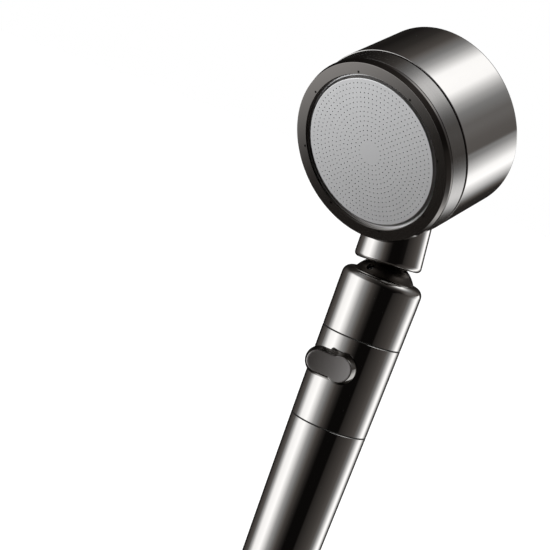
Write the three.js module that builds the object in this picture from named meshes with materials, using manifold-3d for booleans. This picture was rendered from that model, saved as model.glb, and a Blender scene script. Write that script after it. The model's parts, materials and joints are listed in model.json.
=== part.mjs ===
// Handheld shower head: a drum-shaped head on a ball joint, and a handle with a stop valve.
// Millimetres, +Z up the handle. The origin is the centre of the hose inlet's end face, and the
// spray leaves towards -Y. Every mesh is one physical piece.
import * as THREE from 'three';
import { mergeVertices } from 'three/addons/utils/BufferGeometryUtils.js';
import Module from 'manifold-3d';

const wasm = await Module();
wasm.setup();

const { degToRad } = THREE.MathUtils;

// ---------------------------------------------------------------- driving dimensions

const FIT = 0.3; // gap between pieces that slide, turn or are pushed into each other
const SHELL_SIDES = 28;
const INNER_SIDES = 20;
const SEAL_SIDES = 16;
const HOLE_SIDES = 6;

const BALL = { height: 148, radius: 15, top: 13, bottom: -12.5, bore: 7.3 };
const NECK_LEAN = degToRad(-4.9); // about Y: the head leans to the left of the handle
const NECK_YAW = degToRad(1); // about the neck's axis
const SPRAY_DIP = degToRad(30); // the spray axis points this far below square to the neck

const HANDLE = {
  bottom: 14,
  lowerSeam: 86.8,
  upperSeam: 127.1,
  top: BALL.height + 7.2,
  bottomRadius: 15.7,
  topRadius: 17.95,
  belly: 0.25,
  wall: 1.3,
  shoulder: 4,
  lipGap: 0.5,
  lipThickness: 1.5,
};
const SEAM = { thickness: 0.5, recess: 0.25, width: 1.9, gap: 0.05 };

const NECK = { bottom: 12.2, top: 46, bottomRadius: 14.9, topRadius: 13.4, edge: 2 };
const NECK_RECESS = { radius: 10, top: 13.5 };
const STEM = { radius: 7, bore: 4.6, bottom: -6, top: 21.3, headroom: 2.5 };
const STEM_SEAL = { height: 16.8, floor: 6.1, halfWidth: 0.7, centre: 6.72, section: 0.5 };
const RISER = { radius: 4, offset: 4, bottom: 21.3, top: 27.5 }; // joins the stem's bore to the port
const LOCK_SCREW = { radius: 1.3, hole: 1.6, inner: 10.4, outer: 13.6, elevation: degToRad(39.4) };

// The head is drawn from its front plane: depth runs from the spray face to the drum's back.
const CROSSING = { neckReach: 75.5, depth: 42.2 }; // where the neck's axis meets the head's axis
const BEZEL = { radius: 39.3, inner: 33.25, depth: 3.4, bevel: 1.1, lip: 1.9, skirt: 38, skirtEnd: 11.8 };
const BEZEL_HOLES = { count: 8, radius: 0.5, circle: 34.4, depth: 1.2, turn: degToRad(-7.2) };
const RING = { radius: 38.9, backRadius: 39.7, inner: 38.25, front: 3.85, back: 12.2 };
const CUP = { radius: 40, wall: 1.6, front: 12.6, back: 49.1, edge: 1.2 };
const SPIGOT = { radius: 36.7, inner: 34.9, front: 6.7 };
const PLATE = { radius: 34.3, front: 1.95, thickness: 0.8, raised: 0.6, dish: 31.5, step: 32.5 };
const PLATE_HOLES = { radius: 0.9, pitch: 13, rings: 2 };
const GASKET = { radius: 34.3, inner: 32.5, front: 2.85, thickness: 0.9 };
const GRID = { radius: 30.6, front: 1.5, thickness: 2.9, spoke: 2.4, hub: 4.5, spokes: 6 };
const GRID_RINGS = [[4.5, 16.5], [18.5, 28.6]]; // open bands between the hub and the rim
const DIFFUSER = { radius: 31.1, front: 12, thickness: 1.5, holeRadius: 2.2 };
const DIFFUSER_CIRCLES = [[6, 11], [12, 23]]; // how many holes, on what radius
const BOWL = { radius: 33, inner: 31.4, flange: 36.6, front: 3.9, flangeThickness: 1, back: 34 };
const BOWL_SEAL = { centre: 35.7, section: 0.7 };
const PORT = { depth: 23.5, radius: 5.2, bore: 3.8, hole: 5.5, flange: 8.2, flangeThickness: 1.6 };
const PORT_SEAT = { bossRadius: 9, boss: 37, washer: 0.8, end: 46, bowlBoss: 7.5 };
const PORT_SEAL = { centre: 6.2, section: 0.5 };
const REST = 0.1; // gap between pieces that only lie on each other

const SEAT = { radius: 16, upperTop: 5.2, upperBottom: 0.6, lowerTop: -0.6, lowerBottom: -14 };
const SEAT_GROOVE = { top: -8.2, bottom: -11.5, outer: 14.3, inner: 10.6 };
const BALL_SEAL = { section: 1.2, latitude: degToRad(-38), gap: 0.2 };
const WAVE = { inner: 11, outer: 15.8, thickness: 0.7, middle: -15.2, height: 0.25, waves: 3 };

const WATERWAY = 5.2;
const UPPER_TUBE = { radius: 8, bottom: 124.2, flangeRadius: 16, flangeBottom: 129.7, top: 131.7 };
const LOWER_TUBE = { radius: 8, bottom: 26, nutRadius: 11, nutBottom: 94, nutTop: 100.2, top: 104.7 };
const TUBE_SEAL = { floor: 6.9, halfWidth: 1, centre: 7.6, section: 0.6, upper: 126.5, lower: 31 };
const BLOCK = { radius: 15, bottom: 100.5, top: 128.5, chamber: 8.6, chamberTop: 122.7, socket: 123.9 };

const VALVE = { height: 113.6, ballRadius: 8, bore: 4.6, seatOuter: 8.3, seatReach: 8.8, seatStart: 4.8 };
const LEVER_TURN = degToRad(23); // the valve's axis stands this far from -Y towards +X
const SLOT = { width: 2.6, floor: 6.9 };
const TANG = { width: 2, length: 6, tip: 7.2, root: 9.4 };
const SHAFT = { radius: 3, collar: 4.8, collarBottom: 8.9, collarTop: 10, end: 19, key: 2.4, keyEnd: 22 };
const SHAFT_SEAL = { centre: 4.1, section: 0.95, height: 11.1 };
const BONNET = { thread: 5, bottom: 12.3, seat: 14.2, radius: 6.6, top: 18.9 };
const SIDE_BORE = { radius: 5.3, start: 7, spotRadius: 6.7, spot: 14 };
const LEVER = { disc: 6.8, tip: 6.3, reach: 9.6, fillet: 1.2, bottom: 19.2, top: 23, bevel: 0.8 };
const LEVER_SOCKET = { radius: 2.7, top: 22.3 };

const INLET = { radius: 10.48, chamfer: 0.8, bore: 7, boreDepth: 6.2, waterway: 5.6 };
const CONNECTOR = { flange: 15.4, flangeBottom: 12, spigot: 13.5, spigotTop: 17, body: 11.5, top: 38 };
const CONNECTOR_SOCKET = { radius: 8.4, bottom: 24 };
const FILTER = { radius: 6.7, bottom: 4.9, thickness: 1, holeRadius: 0.9, circle: 4.2, holes: 8 };

// ---------------------------------------------------------------- materials

const metal = (colour, roughness) =>
  new THREE.MeshStandardMaterial({ color: colour, roughness, metalness: 1 });
const plastic = (colour, roughness) =>
  new THREE.MeshStandardMaterial({ color: colour, roughness, metalness: 0 });

const MATERIAL = {
  polished: metal(0x8d8784, 0.12),
  satin: metal(0x9c9189, 0.35),
  dark: metal(0x3a3532, 0.3),
  leverMetal: metal(0x55524f, 0.4),
  ballMetal: metal(0x2b2623, 0.28),
  steel: metal(0xc6c8ca, 0.3),
  brass: metal(0xb59a5b, 0.35),
  rubber: plastic(0x151515, 0.8),
  acetal: plastic(0xe6e4dd, 0.5),
  housing: plastic(0x2e3033, 0.55),
};

// ---------------------------------------------------------------- geometry helpers

// A turned solid about Z from [radius, height] points. The outline closes on itself or on the axis.
function turned(points, sides = SHELL_SIDES) {
  const outline = points.map(([r, z]) => new THREE.Vector2(r, z));
  const onAxis = outline[0].x === 0 && outline.at(-1).x === 0;
  if (THREE.ShapeUtils.area(outline) < 0) outline.reverse();
  if (!onAxis) outline.push(outline[0].clone());
  return new THREE.LatheGeometry(outline, sides).rotateX(Math.PI / 2);
}

// Points along a circular arc in a turned outline, from one angle to another.
function arc(r, z, radius, from, to, steps) {
  return Array.from({ length: steps + 1 }, (_, i) => {
    const angle = from + ((to - from) * i) / steps;
    return [r + radius * Math.cos(angle), z + radius * Math.sin(angle)];
  });
}

// Points of a sphere about the origin between two heights.
const sphereArc = (radius, z0, z1, steps) =>
  arc(0, 0, radius, Math.asin(z0 / radius), Math.asin(z1 / radius), steps);

const ring = (inner, outer, bottom, top, sides = SHELL_SIDES) =>
  turned([[inner, bottom], [outer, bottom], [outer, top], [inner, top]], sides);

const rod = (radius, bottom, top, sides = INNER_SIDES) =>
  turned([[0, bottom], [radius, bottom], [radius, top], [0, top]], sides);

function sealRing(centre, section, height, sides = SEAL_SIDES) {
  return new THREE.TorusGeometry(centre, section, 5, sides).translate(0, 0, height);
}

function solidOf(geometry) {
  const bare = new THREE.BufferGeometry().setAttribute('position', geometry.getAttribute('position'));
  bare.setIndex(geometry.index);
  const merged = mergeVertices(bare.index ? bare.toNonIndexed() : bare, 1e-4);
  return new wasm.Manifold(
    new wasm.Mesh({
      numProp: 3,
      vertProperties: merged.attributes.position.array,
      triVerts: new Uint32Array(merged.index.array),
    }),
  );
}

function geometryOf(solid) {
  const { vertProperties, triVerts } = solid.getMesh();
  const geometry = new THREE.BufferGeometry();
  geometry.setAttribute('position', new THREE.BufferAttribute(vertProperties, 3));
  geometry.setIndex(new THREE.BufferAttribute(triVerts, 1));
  return geometry;
}

const cut = (geometry, ...tools) =>
  geometryOf(tools.reduce((solid, tool) => solid.subtract(solidOf(tool)), solidOf(geometry)));

const joined = (...geometries) =>
  geometryOf(geometries.map(solidOf).reduce((whole, next) => whole.add(next)));

// Points along a circle or a part of one in the XY plane.
function circlePoints(x, y, radius, steps, start = 0, end = 2 * Math.PI) {
  const whole = end - start === 2 * Math.PI;
  return Array.from({ length: whole ? steps : steps + 1 }, (_, i) => {
    const angle = start + ((end - start) * i) / steps;
    return new THREE.Vector2(x + radius * Math.cos(angle), y + radius * Math.sin(angle));
  });
}

// A flat plate in the XY plane, from a shape.
const plateOf = (shape, bottom, thickness) =>
  new THREE.ExtrudeGeometry(shape, { depth: thickness, bevelEnabled: false })
    .translate(0, 0, bottom);

const discShape = (radius) => new THREE.Shape(circlePoints(0, 0, radius, SHELL_SIDES));

function addHole(shape, x, y, radius) {
  shape.holes.push(new THREE.Path(circlePoints(x, y, radius, HOLE_SIDES)));
}

function addHoleCircle(shape, count, circle, radius) {
  circlePoints(0, 0, circle, count).forEach(({ x, y }) => addHole(shape, x, y, radius));
}

function add(group, name, geometry, material) {
  const mesh = new THREE.Mesh(geometry, material);
  mesh.name = name;
  group.add(mesh);
}

// Turns a geometry drawn along +Z so that it runs along +Y, at a depth in the head.
const alongPort = (geometry) => geometry.rotateX(-Math.PI / 2).translate(0, 0, PORT.depth);

// ---------------------------------------------------------------- handle

function handleRadius(z) {
  const t = (z - HANDLE.bottom) / (HANDLE.top - HANDLE.bottom);
  const straight = HANDLE.bottomRadius + (HANDLE.topRadius - HANDLE.bottomRadius) * t;
  return straight + HANDLE.belly * 4 * t * (1 - t);
}

function sleeveWall(bottom, top, steps) {
  const heights = Array.from({ length: steps + 1 }, (_, i) => bottom + ((top - bottom) * i) / steps);
  const outside = heights.map((z) => [handleRadius(z), z]);
  const inside = heights.map((z) => [handleRadius(z) - HANDLE.wall, z]);
  return { outside, inside };
}

function gripSleeve() {
  const top = HANDLE.lowerSeam - SEAM.thickness / 2;
  const { outside, inside } = sleeveWall(HANDLE.bottom + SEAM.thickness / 2, top, 3);
  return turned([...outside, ...inside.reverse()]);
}

function valveSleeve() {
  const bottom = HANDLE.lowerSeam + SEAM.thickness / 2;
  const { outside, inside } = sleeveWall(bottom, HANDLE.upperSeam - SEAM.thickness / 2, 1);
  const opening = atValve(rod(SIDE_BORE.spotRadius, SIDE_BORE.spot, HANDLE.topRadius + 1));
  return cut(turned([...outside, ...inside.reverse()]), opening);
}

function upperSleeve() {
  const bottom = HANDLE.upperSeam + SEAM.thickness / 2;
  const shoulderZ = HANDLE.top - HANDLE.shoulder;
  const outer = handleRadius(shoulderZ);
  const inner = SEAT.radius + FIT;
  const lip = HANDLE.top - HANDLE.lipThickness;
  const lipRadius = (z) =>
    Math.sqrt((BALL.radius + HANDLE.lipGap) ** 2 - (z - BALL.height) ** 2);
  return turned([
    [handleRadius(bottom), bottom],
    [outer, shoulderZ],
    ...arc(outer - HANDLE.shoulder, shoulderZ, HANDLE.shoulder, 0, Math.PI / 2, 4).slice(1),
    [lipRadius(HANDLE.top), HANDLE.top],
    [lipRadius(lip), lip],
    [inner, lip],
    [inner, UPPER_TUBE.flangeBottom],
    [handleRadius(bottom) - HANDLE.wall, bottom],
  ]);
}

function seamRing(height) {
  const outer = handleRadius(height) - SEAM.recess;
  const half = SEAM.thickness / 2 - SEAM.gap;
  return ring(outer - SEAM.width, outer, height - half, height + half);
}

// The bore, the outside and an outside groove for a seal ring.
function tubeOutline(stations, sealHeight, tubeRadius) {
  const groove = [
    [tubeRadius, sealHeight - TUBE_SEAL.halfWidth],
    [TUBE_SEAL.floor, sealHeight - TUBE_SEAL.halfWidth],
    [TUBE_SEAL.floor, sealHeight + TUBE_SEAL.halfWidth],
    [tubeRadius, sealHeight + TUBE_SEAL.halfWidth],
  ];
  const [bottom] = stations[0].slice(1);
  const [top] = stations.at(-1).slice(1);
  return [stations[0], ...groove, ...stations.slice(1), [WATERWAY, top], [WATERWAY, bottom]];
}

function upperTube() {
  const t = UPPER_TUBE;
  const stations = [
    [t.radius, t.bottom],
    [t.radius, t.flangeBottom],
    [t.flangeRadius, t.flangeBottom],
    [t.flangeRadius, t.top],
  ];
  return turned(tubeOutline(stations, TUBE_SEAL.upper, t.radius), INNER_SIDES);
}

function lowerTube() {
  const t = LOWER_TUBE;
  const thread = BLOCK.chamber - FIT;
  const stations = [
    [t.radius, t.bottom],
    [t.radius, t.nutBottom],
    [t.nutRadius, t.nutBottom],
    [t.nutRadius, t.nutTop],
    [thread, t.nutTop],
    [thread, t.top],
  ];
  return turned(tubeOutline(stations, TUBE_SEAL.lower, t.radius), INNER_SIDES);
}

function hoseConnector() {
  const i = INLET;
  const c = CONNECTOR;
  return turned([
    [i.bore, 0],
    [i.radius - i.chamfer, 0],
    [i.radius, i.chamfer],
    [i.radius, c.flangeBottom],
    [c.flange - i.chamfer, c.flangeBottom],
    [c.flange, c.flangeBottom + i.chamfer],
    [c.flange, HANDLE.bottom],
    [c.spigot, HANDLE.bottom],
    [c.spigot, c.spigotTop],
    [c.body, c.spigotTop],
    [c.body, c.top],
    [CONNECTOR_SOCKET.radius, c.top],
    [CONNECTOR_SOCKET.radius, CONNECTOR_SOCKET.bottom],
    [i.waterway, CONNECTOR_SOCKET.bottom],
    [i.waterway, i.boreDepth],
    [i.bore, i.boreDepth],
  ], INNER_SIDES);
}

function inletFilter() {
  const shape = discShape(FILTER.radius);
  addHole(shape, 0, 0, FILTER.holeRadius);
  addHoleCircle(shape, FILTER.holes, FILTER.circle, FILTER.holeRadius);
  return plateOf(shape, FILTER.bottom, FILTER.thickness);
}

// ---------------------------------------------------------------- stop valve

// Moves a geometry drawn along +Z from the valve's centre into the handle.
const atValve = (geometry) =>
  geometry.rotateX(Math.PI / 2).rotateZ(LEVER_TURN).translate(0, 0, VALVE.height);

function valveBlock() {
  const b = BLOCK;
  const body = turned([
    [b.chamber, b.bottom],
    [b.radius, b.bottom],
    [b.radius, b.top],
    [UPPER_TUBE.radius + FIT, b.top],
    [UPPER_TUBE.radius + FIT, b.socket],
    [WATERWAY, b.socket],
    [WATERWAY, b.chamberTop],
    [b.chamber, b.chamberTop],
  ], INNER_SIDES);
  const bore = atValve(rod(SIDE_BORE.radius, SIDE_BORE.start, b.radius + 1));
  const spot = atValve(rod(SIDE_BORE.spotRadius, SIDE_BORE.spot, b.radius + 1));
  return cut(body, bore, spot);
}

// side is -1 for the seat under the ball and +1 for the one above it.
function valveSeat(side) {
  const cup = VALVE.ballRadius + FIT;
  const cupEnd = Math.sqrt(cup ** 2 - WATERWAY ** 2);
  const hollow = sphereArc(cup, VALVE.seatStart, cupEnd, 3);
  const outline = [
    ...hollow,
    [WATERWAY, VALVE.seatReach],
    [VALVE.seatOuter, VALVE.seatReach],
    [VALVE.seatOuter, VALVE.seatStart],
  ];
  return turned(outline.map(([r, z]) => [r, VALVE.height + side * z]), INNER_SIDES);
}

// Shut: the ball's bore lies across the waterway, and its slot runs along it.
function valveBall() {
  const end = Math.sqrt(VALVE.ballRadius ** 2 - VALVE.bore ** 2);
  const ball = turned(sphereArc(VALVE.ballRadius, -end, end, 8), INNER_SIDES).rotateY(Math.PI / 2);
  const depth = VALVE.ballRadius + 1 - SLOT.floor;
  const slot = new THREE.BoxGeometry(SLOT.width, 2 * VALVE.ballRadius, depth)
    .translate(0, 0, SLOT.floor + depth / 2);
  return atValve(cut(ball, slot));
}

function valveStem() {
  const s = SHAFT;
  const shaft = turned([
    [0, s.collarBottom],
    [s.collar, s.collarBottom],
    [s.collar, s.collarTop],
    [s.radius, s.collarTop],
    [s.radius, s.end],
    [s.key, s.end],
    [s.key, s.keyEnd],
    [0, s.keyEnd],
  ], SEAL_SIDES);
  const tangHeight = TANG.root - TANG.tip;
  const tang = new THREE.BoxGeometry(TANG.width, TANG.length, tangHeight)
    .translate(0, 0, TANG.tip + tangHeight / 2);
  return joined(shaft, tang);
}

function bonnetNut() {
  const b = BONNET;
  const bore = SHAFT.radius + FIT;
  return turned([
    [bore, b.bottom],
    [b.thread, b.bottom],
    [b.thread, b.seat],
    [b.radius, b.seat],
    [b.radius, b.top],
    [bore, b.top],
  ], INNER_SIDES);
}

// A round hub over the valve's axis that runs through a small waist into a bar with a round end.
function leverOutline() {
  const { disc, tip, reach, fillet } = LEVER;
  const filletX = -Math.sqrt((disc + fillet) ** 2 - (tip + fillet) ** 2);
  const waist = Math.atan2(tip + fillet, filletX);
  const shape = new THREE.Shape();
  shape.absarc(0, 0, disc, -waist, waist, false);
  shape.absarc(filletX, tip + fillet, fillet, waist - Math.PI, -Math.PI / 2, true);
  shape.absarc(-reach, 0, tip, Math.PI / 2, 1.5 * Math.PI, false);
  shape.absarc(filletX, -tip - fillet, fillet, Math.PI / 2, Math.PI - waist, true);
  return shape;
}

function stopLever() {
  const { bevel, bottom, top } = LEVER;
  const body = new THREE.ExtrudeGeometry(leverOutline(), {
    depth: top - bottom - 2 * bevel,
    bevelThickness: bevel,
    bevelSize: bevel,
    bevelOffset: -bevel,
    bevelSegments: 1,
    curveSegments: 6,
  }).translate(0, 0, bottom + bevel);
  return cut(body, rod(LEVER_SOCKET.radius, bottom - 1, LEVER_SOCKET.top, SEAL_SIDES));
}

// ---------------------------------------------------------------- ball joint

function ballSeatUpper() {
  const cup = BALL.radius + FIT;
  return turned([
    ...sphereArc(cup, SEAT.upperBottom, SEAT.upperTop, 2),
    [SEAT.radius, SEAT.upperTop],
    [SEAT.radius, SEAT.upperBottom],
  ]);
}

function ballSeatLower() {
  const cup = BALL.radius + FIT;
  const g = SEAT_GROOVE;
  return turned([
    [SEAT.radius, SEAT.lowerBottom],
    [SEAT.radius, SEAT.lowerTop],
    ...sphereArc(cup, SEAT.lowerTop, g.top, 3),
    [g.outer, g.top],
    [g.outer, g.bottom],
    [g.inner, g.bottom],
    [g.inner, SEAT.lowerBottom],
  ]);
}

function ballSeal() {
  const reach = BALL.radius + BALL_SEAL.gap + BALL_SEAL.section;
  const centre = reach * Math.cos(BALL_SEAL.latitude);
  return sealRing(centre, BALL_SEAL.section, reach * Math.sin(BALL_SEAL.latitude), SHELL_SIDES);
}

// A flat spring ring whose height runs in waves around it.
function waveWasher() {
  const w = WAVE;
  const geometry = ring(w.inner, w.outer, w.middle - w.thickness / 2, w.middle + w.thickness / 2);
  const { position } = geometry.attributes;
  for (let i = 0; i < position.count; i += 1) {
    const angle = Math.atan2(position.getY(i), position.getX(i));
    position.setZ(i, position.getZ(i) + w.height * Math.cos(w.waves * angle));
  }
  return geometry;
}

function swivelBall() {
  const ball = turned([
    [BALL.bore, BALL.bottom],
    ...sphereArc(BALL.radius, BALL.bottom, BALL.top, 8),
    [BALL.bore, BALL.top],
  ]);
  return cut(ball, towardsLockScrew(rod(LOCK_SCREW.hole, BALL.bore - 1, BALL.radius + 1, SEAL_SIDES)));
}

// Turns a geometry drawn along +Z to the lock screw's direction, up and to the front.
const towardsLockScrew = (geometry) => geometry.rotateX(Math.PI / 2 - LOCK_SCREW.elevation);

function ballStem() {
  const { radius, bore, bottom, top } = STEM;
  const { height, floor, halfWidth } = STEM_SEAL;
  return turned([
    [bore, bottom],
    [radius, bottom],
    [radius, height - halfWidth],
    [floor, height - halfWidth],
    [floor, height + halfWidth],
    [radius, height + halfWidth],
    [radius, top],
    [bore, top],
  ], INNER_SIDES);
}

// ---------------------------------------------------------------- head

// The satin band between the bezel and the drum, a little wider at the back.
function faceRing() {
  const r = RING;
  return turned([[r.inner, r.front], [r.radius, r.front], [r.backRadius, r.back], [r.inner, r.back]]);
}

// The head's outside, grown by the fit, for trimming the neck.
function headEnvelope() {
  return turned([
    [0, -FIT],
    [RING.backRadius + FIT, -FIT],
    [RING.backRadius + FIT, CUP.front - FIT],
    [CUP.radius + FIT, CUP.front - FIT],
    [CUP.radius + FIT, CUP.back],
    [0, CUP.back],
  ]);
}

function neckSocket(faceMatrix) {
  const n = NECK;
  const body = turned([
    [0, n.bottom],
    ...arc(n.bottomRadius - n.edge, n.bottom + n.edge, n.edge, -Math.PI / 2, 0, 3),
    [n.topRadius, n.top],
    [0, n.top],
  ]);
  const recess = rod(NECK_RECESS.radius, n.bottom - 1, NECK_RECESS.top, SHELL_SIDES);
  const stemBore = rod(STEM.radius + FIT, n.bottom - 1, STEM.top + STEM.headroom);
  const riser = rod(RISER.radius, RISER.bottom, RISER.top).translate(0, RISER.offset, 0);
  const portBore = alongPort(rod(PORT.hole, PORT_SEAT.boss, PORT_SEAT.end + 1)).applyMatrix4(faceMatrix);
  return cut(body, recess, stemBore, riser, portBore, headEnvelope().applyMatrix4(faceMatrix));
}

function headCup() {
  const c = CUP;
  const s = SPIGOT;
  const inside = c.radius - c.wall;
  const shell = turned([
    [0, c.back - c.wall],
    [inside, c.back - c.wall],
    [inside, c.front + c.wall],
    [s.inner, c.front + c.wall],
    [s.inner, s.front],
    [s.radius, s.front],
    [s.radius, c.front],
    [c.radius, c.front],
    ...arc(c.radius - c.edge, c.back - c.edge, c.edge, 0, Math.PI / 2, 3),
    [0, c.back],
  ]);
  const boss = alongPort(rod(PORT_SEAT.bossRadius, PORT_SEAT.boss, inside + c.wall / 2));
  return cut(joined(shell, boss), alongPort(rod(PORT.hole, PORT_SEAT.boss - 1, c.radius + 1)));
}

function frontBezel() {
  const b = BEZEL;
  const seat = PLATE.radius + FIT;
  const body = turned([
    [b.inner, 0],
    [b.radius - b.bevel, 0],
    [b.radius, b.bevel],
    [b.radius, b.depth],
    [b.skirt, b.depth],
    [b.skirt, b.skirtEnd],
    [SPIGOT.radius + FIT, b.skirtEnd],
    [SPIGOT.radius + FIT, BOWL.front - REST],
    [seat, BOWL.front - REST],
    [seat, b.lip],
    [b.inner, b.lip],
  ]);
  const holes = Array.from({ length: BEZEL_HOLES.count }, (_, i) => {
    const angle = BEZEL_HOLES.turn + (2 * Math.PI * i) / BEZEL_HOLES.count;
    return rod(BEZEL_HOLES.radius, -1, BEZEL_HOLES.depth, HOLE_SIDES)
      .translate(BEZEL_HOLES.circle * Math.cos(angle), BEZEL_HOLES.circle * Math.sin(angle), 0);
  });
  return cut(body, ...holes);
}

// A pressed disc: its middle stands forward of its rim, and has a coarse pattern of holes.
function sprayPlate() {
  const p = PLATE;
  const disc = turned([
    [0, p.raised],
    [p.dish, p.raised],
    [p.step, p.front],
    [p.radius, p.front],
    [p.radius, p.front + p.thickness],
    [p.step - p.thickness / 2, p.front + p.thickness],
    [p.dish - p.thickness / 2, p.raised + p.thickness],
    [0, p.raised + p.thickness],
  ]);
  const hole = (x, y) => rod(PLATE_HOLES.radius, 0, p.front, HOLE_SIDES).translate(x, y, 0);
  const rings = Array.from({ length: PLATE_HOLES.rings }, (_, i) => i + 1);
  const places = rings.flatMap((i) => circlePoints(0, 0, PLATE_HOLES.pitch * i, 6 * i));
  return cut(disc, hole(0, 0), ...places.map(({ x, y }) => hole(x, y)));
}

// An opening between two spokes, from an inner to an outer radius.
function sectorHole(inner, outer, start, end, halfSpoke) {
  const innerTrim = Math.asin(halfSpoke / inner);
  const outerTrim = Math.asin(halfSpoke / outer);
  return new THREE.Path([
    ...circlePoints(0, 0, outer, 3, start + outerTrim, end - outerTrim),
    ...circlePoints(0, 0, inner, 2, end - innerTrim, start + innerTrim),
  ]);
}

function supportGrid() {
  const shape = discShape(GRID.radius);
  const step = (2 * Math.PI) / GRID.spokes;
  GRID_RINGS.forEach(([inner, outer]) => {
    for (let i = 0; i < GRID.spokes; i += 1) {
      shape.holes.push(sectorHole(inner, outer, i * step, (i + 1) * step, GRID.spoke / 2));
    }
  });
  const wheel = plateOf(shape, GRID.front, GRID.thickness);
  const post = rod(GRID.hub - 1, GRID.front + GRID.thickness / 2, DIFFUSER.front - REST, SEAL_SIDES);
  return joined(wheel, post);
}

function diffuserDisc() {
  const shape = discShape(DIFFUSER.radius);
  DIFFUSER_CIRCLES.forEach(([count, radius]) => addHoleCircle(shape, count, radius, DIFFUSER.holeRadius));
  return plateOf(shape, DIFFUSER.front, DIFFUSER.thickness);
}

function chamberBowl() {
  const b = BOWL;
  const wall = b.radius - b.inner;
  const shell = turned([
    [0, b.back - wall],
    [b.inner, b.back - wall],
    [b.inner, b.front],
    [b.flange, b.front],
    [b.flange, b.front + b.flangeThickness],
    [b.radius, b.front + b.flangeThickness],
    [b.radius, b.back],
    [0, b.back],
  ]);
  const boss = alongPort(rod(PORT_SEAT.bowlBoss, b.inner + wall / 2, b.radius));
  return cut(joined(shell, boss), alongPort(rod(PORT.radius, b.inner - 2, b.radius + 1)));
}

function neckNipple() {
  const seat = PORT_SEAT.boss - PORT_SEAT.washer - 2 * REST;
  return alongPort(turned([
    [PORT.bore, seat - PORT.flangeThickness],
    [PORT.flange, seat - PORT.flangeThickness],
    [PORT.flange, seat],
    [PORT.radius, seat],
    [PORT.radius, PORT_SEAT.end],
    [PORT.bore, PORT_SEAT.end],
  ], INNER_SIDES));
}

function neckWasher() {
  const top = PORT_SEAT.boss - REST;
  return alongPort(ring(PORT.hole + REST, PORT.flange, top - PORT_SEAT.washer, top, INNER_SIDES));
}

function portSeal() {
  const height = BOWL.radius + REST + PORT_SEAL.section;
  return alongPort(sealRing(PORT_SEAL.centre, PORT_SEAL.section, height));
}

// ---------------------------------------------------------------- assembly

const tubeSeal = (height) => sealRing(TUBE_SEAL.centre, TUBE_SEAL.section, height);

function buildHandle(handle) {
  add(handle, 'hose_connector', hoseConnector(), MATERIAL.polished);
  add(handle, 'inlet_filter', inletFilter(), MATERIAL.steel);
  add(handle, 'grip_sleeve', gripSleeve(), MATERIAL.polished);
  add(handle, 'lower_tube', lowerTube(), MATERIAL.housing);
  add(handle, 'lower_tube_seal', tubeSeal(TUBE_SEAL.lower), MATERIAL.rubber);
  add(handle, 'lower_seam_ring', seamRing(HANDLE.lowerSeam), MATERIAL.rubber);
  add(handle, 'valve_sleeve', valveSleeve(), MATERIAL.polished);
  add(handle, 'valve_block', valveBlock(), MATERIAL.housing);
  add(handle, 'valve_seat_lower', valveSeat(-1), MATERIAL.acetal);
  add(handle, 'valve_seat_upper', valveSeat(1), MATERIAL.acetal);
  add(handle, 'bonnet_nut', atValve(bonnetNut()), MATERIAL.polished);
  add(handle, 'upper_seam_ring', seamRing(HANDLE.upperSeam), MATERIAL.rubber);
  add(handle, 'upper_tube', upperTube(), MATERIAL.housing);
  add(handle, 'upper_tube_seal', tubeSeal(TUBE_SEAL.upper), MATERIAL.rubber);
  add(handle, 'upper_sleeve', upperSleeve(), MATERIAL.polished);
}

// Everything here turns about the valve's axis.
function buildLever(handle) {
  add(handle, 'valve_ball', valveBall(), MATERIAL.steel);
  add(handle, 'valve_stem', atValve(valveStem()), MATERIAL.brass);
  const seal = sealRing(SHAFT_SEAL.centre, SHAFT_SEAL.section, SHAFT_SEAL.height);
  add(handle, 'valve_stem_seal', atValve(seal), MATERIAL.rubber);
  add(handle, 'stop_lever', atValve(stopLever()), MATERIAL.leverMetal);
}

function buildSeats(joint) {
  add(joint, 'ball_seat_upper', ballSeatUpper(), MATERIAL.acetal);
  add(joint, 'ball_seat_lower', ballSeatLower(), MATERIAL.acetal);
  add(joint, 'ball_seal', ballSeal(), MATERIAL.rubber);
  add(joint, 'seat_spring', waveWasher(), MATERIAL.steel);
}

function buildBall(leaning) {
  const screw = rod(LOCK_SCREW.radius, LOCK_SCREW.inner, LOCK_SCREW.outer, SEAL_SIDES);
  add(leaning, 'swivel_ball', swivelBall(), MATERIAL.ballMetal);
  add(leaning, 'ball_stem', ballStem(), MATERIAL.brass);
  add(leaning, 'ball_lock_screw', towardsLockScrew(screw), MATERIAL.steel);
  const seal = sealRing(STEM_SEAL.centre, STEM_SEAL.section, STEM_SEAL.height);
  add(leaning, 'neck_seal', seal, MATERIAL.rubber);
}

function buildHead(face) {
  const sealHeight = (BOWL.front + BOWL.flangeThickness + SPIGOT.front) / 2;
  const bowlSeal = sealRing(BOWL_SEAL.centre, BOWL_SEAL.section, sealHeight, SHELL_SIDES);
  const gasket = ring(GASKET.inner, GASKET.radius, GASKET.front, GASKET.front + GASKET.thickness);
  add(face, 'head_cup', headCup(), MATERIAL.polished);
  add(face, 'face_ring', faceRing(), MATERIAL.satin);
  add(face, 'front_bezel', frontBezel(), MATERIAL.dark);
  add(face, 'spray_plate', sprayPlate(), MATERIAL.steel);
  add(face, 'plate_gasket', gasket, MATERIAL.rubber);
  add(face, 'support_grid', supportGrid(), MATERIAL.housing);
  add(face, 'diffuser_disc', diffuserDisc(), MATERIAL.housing);
  add(face, 'chamber_bowl', chamberBowl(), MATERIAL.housing);
  add(face, 'bowl_seal', bowlSeal, MATERIAL.rubber);
  add(face, 'neck_nipple', neckNipple(), MATERIAL.brass);
  add(face, 'neck_washer', neckWasher(), MATERIAL.rubber);
  add(face, 'port_seal', portSeal(), MATERIAL.rubber);
}

const showerHead = new THREE.Group();
buildHandle(showerHead);
buildLever(showerHead);

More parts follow.
